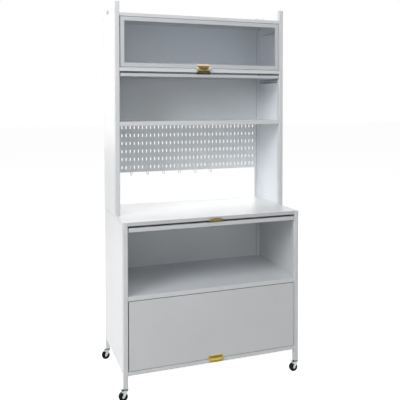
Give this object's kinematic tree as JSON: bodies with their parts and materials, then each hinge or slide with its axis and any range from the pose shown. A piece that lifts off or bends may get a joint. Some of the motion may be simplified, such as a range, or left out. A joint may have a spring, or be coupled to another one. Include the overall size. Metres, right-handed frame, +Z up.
{
  "type": "microwave cart",
  "caption": "Tall white sheet-steel kitchen cabinet on swivel casters: deep base with worktop and microwave bay, set-back hutch with pegboard, and flip-up doors that run back into it",
  "frame": {"origin": "on the floor under the middle of the cabinet", "axes": "+X to the right seen from the front, +Y to the back, +Z up"},
  "size_m": [0.837, 0.44, 1.646],
  "materials": {
    "powder_white": "white powder coat, fine orange peel",
    "door_white": "white powder coat, satin",
    "glass": "clear tempered glass, faint grey tint",
    "brass": "polished brass-coloured zinc",
    "zinc": "bright zinc plate",
    "steel": "galvanised sheet",
    "black_plastic": "moulded nylon",
    "white_nylon": "white moulded nylon on a zinc pin",
    "tyre": "smooth black rubber",
    "hook_white": "dip-coated wire"
  },
  "bodies": {
    "cabinet": {"rear_post_left": "powder_white", "rear_post_right": "powder_white", "base_post_left": "powder_white", "base_post_right": "powder_white", "hutch_post_left": "powder_white", "hutch_post_right": "powder_white", "post_caps": "powder_white", "hutch_post_plugs": "black_plastic", "hutch_bolts": "steel", "base_side_left": "powder_white", "base_side_right": "powder_white", "hutch_side_left": "powder_white", "hutch_side_right": "powder_white", "base_top_rails": "powder_white", "base_back": "powder_white", "hutch_back": "powder_white", "pegboard": "powder_white", "peg_hooks": "hook_white", "bottom_shelf": "powder_white", "microwave_shelf": "powder_white", "worktop": "powder_white", "hutch_shelf": "powder_white", "hutch_divider": "powder_white", "roof": "powder_white", "shelf_screws": "steel", "worktop_screws": "powder_white", "leg_inserts": "black_plastic", "caster_stems": "zinc", "top_door_runners": "powder_white", "mid_door_runners": "powder_white", "bay_door_runners": "powder_white", "base_door_runners": "powder_white"},
    "fork_front_left": {"fork_front_left": "zinc"},
    "wheel_front_left": {"wheel_front_left": "tyre"},
    "brake_front_left": {"brake_front_left": "zinc"},
    "fork_front_right": {"fork_front_right": "zinc"},
    "wheel_front_right": {"wheel_front_right": "tyre"},
    "brake_front_right": {"brake_front_right": "zinc"},
    "fork_rear_left": {"fork_rear_left": "zinc"},
    "wheel_rear_left": {"wheel_rear_left": "tyre"},
    "fork_rear_right": {"fork_rear_right": "zinc"},
    "wheel_rear_right": {"wheel_rear_right": "tyre"},
    "top_door_carriage": {"top_door_rollers": "white_nylon"},
    "top_door": {"top_door_frame": "door_white", "top_door_glass": "glass", "top_door_brackets": "steel", "top_door_pull": "brass"},
    "mid_door_carriage": {"mid_door_rollers": "white_nylon"},
    "mid_door": {"mid_door_frame": "door_white", "mid_door_glass": "glass", "mid_door_brackets": "steel", "mid_door_pull": "brass"},
    "bay_door_carriage": {"bay_door_rollers": "white_nylon"},
    "bay_door": {"bay_door_panel": "door_white", "bay_door_brackets": "steel", "bay_door_pull": "brass"},
    "base_door_carriage": {"base_door_rollers": "white_nylon"},
    "base_door": {"base_door_panel": "door_white", "base_door_brackets": "steel", "base_door_pull": "brass"}
  },
  "joints": [
    {"name": "swivel_front_left", "type": "hinge", "parent": "cabinet", "child": "fork_front_left", "pos_m": [-0.39, -0.2, 0.0425], "axis": [0, 0, 1], "continuous": true},
    {"name": "roll_front_left", "type": "hinge", "parent": "fork_front_left", "child": "wheel_front_left", "pos_m": [-0.4, -0.2, 0.0185], "axis": [0, 1, 0], "continuous": true},
    {"name": "pedal_front_left", "type": "hinge", "parent": "fork_front_left", "child": "brake_front_left", "pos_m": [-0.405, -0.2, 0.03962], "axis": [0, -1, 0], "range_deg": [0, 20]},
    {"name": "swivel_front_right", "type": "hinge", "parent": "cabinet", "child": "fork_front_right", "pos_m": [0.39, -0.2, 0.0425], "axis": [0, 0, 1], "continuous": true},
    {"name": "roll_front_right", "type": "hinge", "parent": "fork_front_right", "child": "wheel_front_right", "pos_m": [0.38, -0.2, 0.0185], "axis": [0, 1, 0], "continuous": true},
    {"name": "pedal_front_right", "type": "hinge", "parent": "fork_front_right", "child": "brake_front_right", "pos_m": [0.375, -0.2, 0.03962], "axis": [0, -1, 0], "range_deg": [0, 20]},
    {"name": "swivel_rear_left", "type": "hinge", "parent": "cabinet", "child": "fork_rear_left", "pos_m": [-0.39, 0.2, 0.0425], "axis": [0, 0, 1], "continuous": true},
    {"name": "roll_rear_left", "type": "hinge", "parent": "fork_rear_left", "child": "wheel_rear_left", "pos_m": [-0.4, 0.2, 0.0185], "axis": [0, 1, 0], "continuous": true},
    {"name": "swivel_rear_right", "type": "hinge", "parent": "cabinet", "child": "fork_rear_right", "pos_m": [0.39, 0.2, 0.0425], "axis": [0, 0, 1], "continuous": true},
    {"name": "roll_rear_right", "type": "hinge", "parent": "fork_rear_right", "child": "wheel_rear_right", "pos_m": [0.4, 0.2, 0.0185], "axis": [0, 1, 0], "continuous": true},
    {"name": "top_door_run", "type": "slide", "parent": "cabinet", "child": "top_door_carriage", "axis": [0, 1, 0], "range_m": [0, 0.15251]},
    {"name": "top_door_lift", "type": "hinge", "parent": "top_door_carriage", "child": "top_door", "pos_m": [0, -0.032, 1.547], "axis": [-1, 0, 0], "range_deg": [0, 90]},
    {"name": "mid_door_run", "type": "slide", "parent": "cabinet", "child": "mid_door_carriage", "axis": [0, 1, 0], "range_m": [-0.15151, 0]},
    {"name": "mid_door_lift", "type": "hinge", "parent": "mid_door_carriage", "child": "mid_door", "pos_m": [0, 0.1195, 1.312], "axis": [-1, 0, 0], "range_deg": [-90, 0]},
    {"name": "bay_door_run", "type": "slide", "parent": "cabinet", "child": "bay_door_carriage", "axis": [0, 1, 0], "range_m": [-0.22051, 0]},
    {"name": "bay_door_lift", "type": "hinge", "parent": "bay_door_carriage", "child": "bay_door", "pos_m": [0, 0.0385, 0.676], "axis": [-1, 0, 0], "range_deg": [-90, 0]},
    {"name": "base_door_run", "type": "slide", "parent": "cabinet", "child": "base_door_carriage", "axis": [0, 1, 0], "range_m": [0, 0.22351]},
    {"name": "base_door_lift", "type": "hinge", "parent": "base_door_carriage", "child": "base_door", "pos_m": [0, -0.182, 0.371], "axis": [-1, 0, 0], "range_deg": [0, 90]}
  ],
  "couplings": [
    {"joint": "top_door_run", "follows": "top_door_lift", "m_per_rad": 0.097085},
    {"joint": "mid_door_run", "follows": "mid_door_lift", "m_per_rad": 0.096448},
    {"joint": "bay_door_run", "follows": "bay_door_lift", "m_per_rad": 0.14037},
    {"joint": "base_door_run", "follows": "base_door_lift", "m_per_rad": 0.14228}
  ]
}
